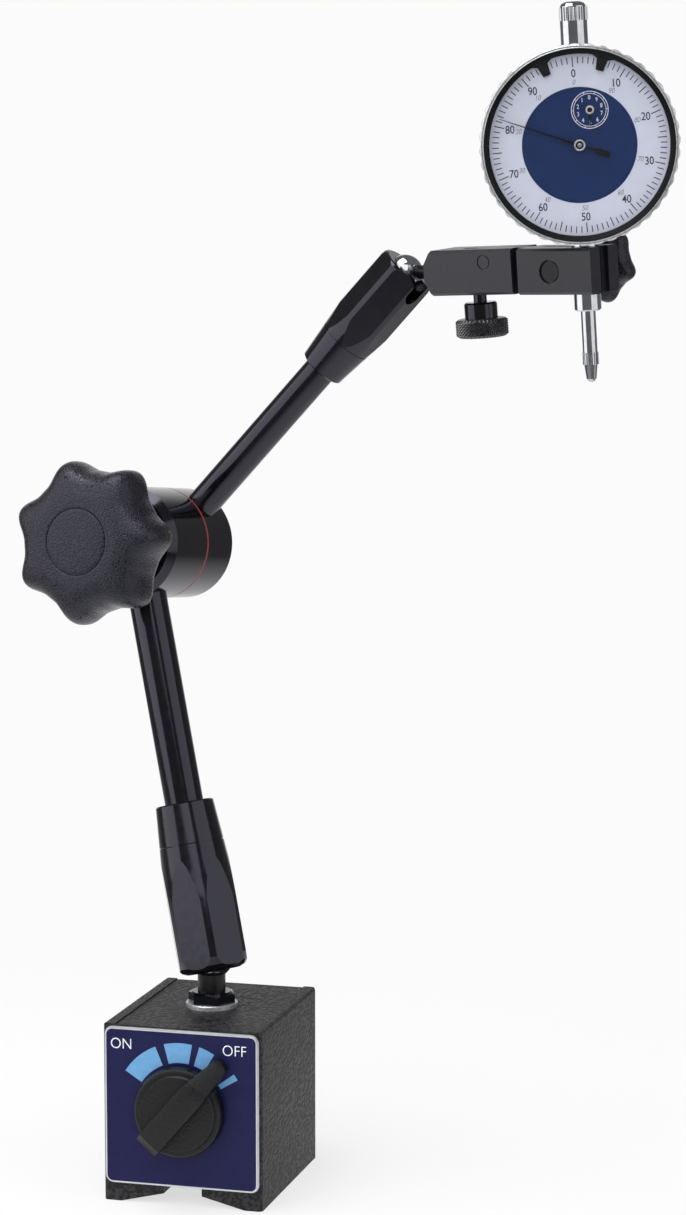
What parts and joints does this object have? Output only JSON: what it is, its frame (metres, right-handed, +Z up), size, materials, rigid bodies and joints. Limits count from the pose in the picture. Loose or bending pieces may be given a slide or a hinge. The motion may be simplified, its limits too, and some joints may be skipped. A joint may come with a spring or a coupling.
{
  "type": "dial indicator with magnetic base",
  "caption": "Dial indicator held by a jointed two-arm stand with a central clamping knob on a switchable magnetic base with a vee foot.",
  "frame": {"origin": "middle of the magnetic base's underside, on the ground between its two feet", "axes": "+Z up, -Y towards the switch on the front of the base, +X to the right seen from the front"},
  "size_m": [0.2004, 0.0934, 0.3582],
  "materials": {
    "textured_black_paint": "rough textured black paint over iron poles and their brass spacer",
    "plain_steel": "machined steel",
    "magnet": "ground ferrite magnet with iron caps",
    "printed_plate": "printed dark blue with a bright bevelled rim",
    "black_plastic": "fine-grained moulded black plastic",
    "black_oxide": "satin black oxide",
    "gloss_black": "gloss black enamel on steel",
    "satin_black": "satin black, ground flat",
    "bright_plate": "bright chrome plate",
    "satin_chrome": "satin chrome",
    "brass": "turned brass",
    "red_ring": "red fibre",
    "blue_dial": "printed dark blue",
    "white_dial": "printed pale white",
    "gloss_black_plastic": "gloss black",
    "dark_hand": "blackened steel",
    "crystal": "clear acrylic"
  },
  "bodies": {
    "base": {"pole_left": "textured_black_paint", "pole_right": "textured_black_paint", "brass_spacer": "textured_black_paint", "bore_cap": "plain_steel", "stop_pin": "plain_steel", "face_plate": "printed_plate", "lower_stud": "black_oxide", "stud_washer": "bright_plate", "stud_nut": "black_oxide"},
    "switch": {"switch_knob": "black_plastic", "switch_shaft": "plain_steel", "magnet_rotor": "magnet"},
    "lower_ball": {"lower_ball": "bright_plate"},
    "lower_seat": {"lower_seat": "brass"},
    "lower_arm": {"lower_sleeve": "gloss_black", "lower_tube": "gloss_black", "lower_push_rod": "plain_steel", "hub_front": "gloss_black", "friction_ring": "red_ring"},
    "star_knob": {"star_knob": "black_plastic", "knob_bush": "brass", "knob_cap": "black_plastic"},
    "upper_arm": {"hub_rear": "gloss_black", "centre_bolt": "plain_steel", "upper_tube": "gloss_black", "upper_push_rod": "plain_steel", "upper_sleeve": "gloss_black"},
    "upper_seat": {"upper_seat": "brass"},
    "upper_ball": {"upper_ball": "bright_plate"},
    "holder": {"neck_stud": "black_oxide", "holder_fork": "satin_black", "hinge_pin": "black_oxide", "fine_spring": "plain_steel"},
    "fine_screw": {"fine_screw": "black_oxide"},
    "clamp": {"clamp_block": "satin_black"},
    "clamp_knob": {"clamp_knob": "black_plastic", "clamp_screw": "plain_steel"},
    "indicator": {"case": "satin_chrome", "back_cover": "satin_chrome", "cover_screws": "bright_plate", "stem": "bright_plate", "top_tube": "bright_plate", "top_cap": "bright_plate", "front_plate": "brass", "gear_bridge": "brass", "hairspring": "plain_steel", "return_spring": "plain_steel", "centre_disc": "blue_dial"},
    "bezel": {"bezel": "satin_chrome", "crystal": "crystal", "seal_ring": "gloss_black_plastic", "scale_ring": "white_dial"},
    "marker_left": {"marker_left": "gloss_black_plastic"},
    "marker_right": {"marker_right": "gloss_black_plastic"},
    "spindle": {"spindle": "bright_plate", "contact_point": "bright_plate"},
    "main_hand": {"main_hand": "dark_hand", "centre_pinion": "plain_steel"},
    "drive_wheel": {"drive_wheel": "brass"},
    "counter_wheel": {"counter_wheel": "brass"}
  },
  "joints": [
    {"name": "switch_turn", "type": "hinge", "parent": "base", "child": "switch", "pos_m": [0, -0.03, 0.0298], "axis": [0, -1, 0], "range_deg": [0, 90]},
    {"name": "base_swivel", "type": "hinge", "parent": "base", "child": "lower_ball", "pos_m": [0, 0, 0.0703], "axis": [0, 0, 1], "continuous": true},
    {"name": "lower_tilt", "type": "hinge", "parent": "lower_ball", "child": "lower_seat", "pos_m": [0, 0, 0.0703], "axis": [-0.5255, -0.8508, 0], "range_deg": [-39, 8.5]},
    {"name": "lower_spin", "type": "hinge", "parent": "lower_seat", "child": "lower_arm", "pos_m": [0, 0, 0.0703], "axis": [-0.2231, 0.1378, 0.965], "continuous": true},
    {"name": "star_knob_turn", "type": "hinge", "parent": "lower_arm", "child": "star_knob", "pos_m": [-0.02895, 0.01788, 0.19556], "axis": [-0.183, -0.9783, 0.0974], "range_deg": [0, 360]},
    {"name": "elbow", "type": "hinge", "parent": "lower_arm", "child": "upper_arm", "pos_m": [-0.02526, 0.03764, 0.19359], "axis": [0.183, 0.9783, -0.0974], "range_deg": [-176, 63]},
    {"name": "upper_spin", "type": "hinge", "parent": "upper_arm", "child": "upper_seat", "pos_m": [0.05307, 0.03152, 0.27921], "axis": [0.6741, -0.0527, 0.7368], "range_deg": [-350, 0]},
    {"name": "upper_tilt", "type": "hinge", "parent": "upper_seat", "child": "upper_ball", "pos_m": [0.05307, 0.03152, 0.27921], "axis": [0.382, 0.8786, -0.2866], "range_deg": [-96, 41]},
    {"name": "holder_swivel", "type": "hinge", "parent": "upper_ball", "child": "holder", "pos_m": [0.05307, 0.03152, 0.27921], "axis": [0.9206, -0.389, 0.0346], "range_deg": [-180, 180]},
    {"name": "fine_turn", "type": "hinge", "parent": "holder", "child": "fine_screw", "pos_m": [0.07892, 0.02145, 0.27019], "axis": [-0.0625, -0.0594, 0.9963], "range_deg": [-130, 130]},
    {"name": "fine_tilt", "type": "hinge", "parent": "holder", "child": "clamp", "pos_m": [0.08473, 0.01788, 0.28339], "axis": [0.3855, 0.9193, 0.079], "range_deg": [-2.2, 2.2]},
    {"name": "clamp_knob_turn", "type": "hinge", "parent": "clamp", "child": "clamp_knob", "pos_m": [0.10653, 0.00896, 0.28085], "axis": [0.3855, 0.9193, 0.079], "range_deg": [0, 360]},
    {"name": "stem_swivel", "type": "hinge", "parent": "clamp", "child": "indicator", "pos_m": [0.11409, 0.00577, 0.281], "axis": [-0.0481, -0.0655, 0.9967], "range_deg": [-100, 60]},
    {"name": "bezel_turn", "type": "hinge", "parent": "indicator", "child": "bezel", "pos_m": [0.11234, 0.00339, 0.31728], "axis": [0.1957, -0.9791, -0.0549], "continuous": true},
    {"name": "marker_left_turn", "type": "hinge", "parent": "bezel", "child": "marker_left", "pos_m": [0.11234, 0.00339, 0.31728], "axis": [0.1957, -0.9791, -0.0549], "range_deg": [-8, 150]},
    {"name": "marker_right_turn", "type": "hinge", "parent": "bezel", "child": "marker_right", "pos_m": [0.11234, 0.00339, 0.31728], "axis": [0.1957, -0.9791, -0.0549], "range_deg": [-150, 8]},
    {"name": "spindle_travel", "type": "slide", "parent": "indicator", "child": "spindle", "axis": [-0.0481, -0.0655, 0.9967], "range_m": [0, 0.01], "stiffness_N_per_m": 40, "springref_m": -0.02},
    {"name": "main_hand_turn", "type": "hinge", "parent": "indicator", "child": "main_hand", "pos_m": [0.11234, 0.00339, 0.31728], "axis": [0.1957, -0.9791, -0.0549], "range_deg": [-3620, 20]},
    {"name": "drive_wheel_turn", "type": "hinge", "parent": "indicator", "child": "drive_wheel", "pos_m": [0.10948, 0.00338, 0.30721], "axis": [0.1957, -0.9791, -0.0549], "range_deg": [-5, 365]},
    {"name": "counter_wheel_turn", "type": "hinge", "parent": "indicator", "child": "counter_wheel", "pos_m": [0.11519, 0.00339, 0.32735], "axis": [0.1957, -0.9791, -0.0549], "range_deg": [-5, 365]}
  ],
  "couplings": [
    {"joint": "fine_tilt", "follows": "fine_turn", "ratio": 0.015473},
    {"joint": "main_hand_turn", "follows": "spindle_travel", "rad_per_m": -6283.2},
    {"joint": "drive_wheel_turn", "follows": "spindle_travel", "rad_per_m": 628.32},
    {"joint": "counter_wheel_turn", "follows": "spindle_travel", "rad_per_m": 628.32}
  ]
}
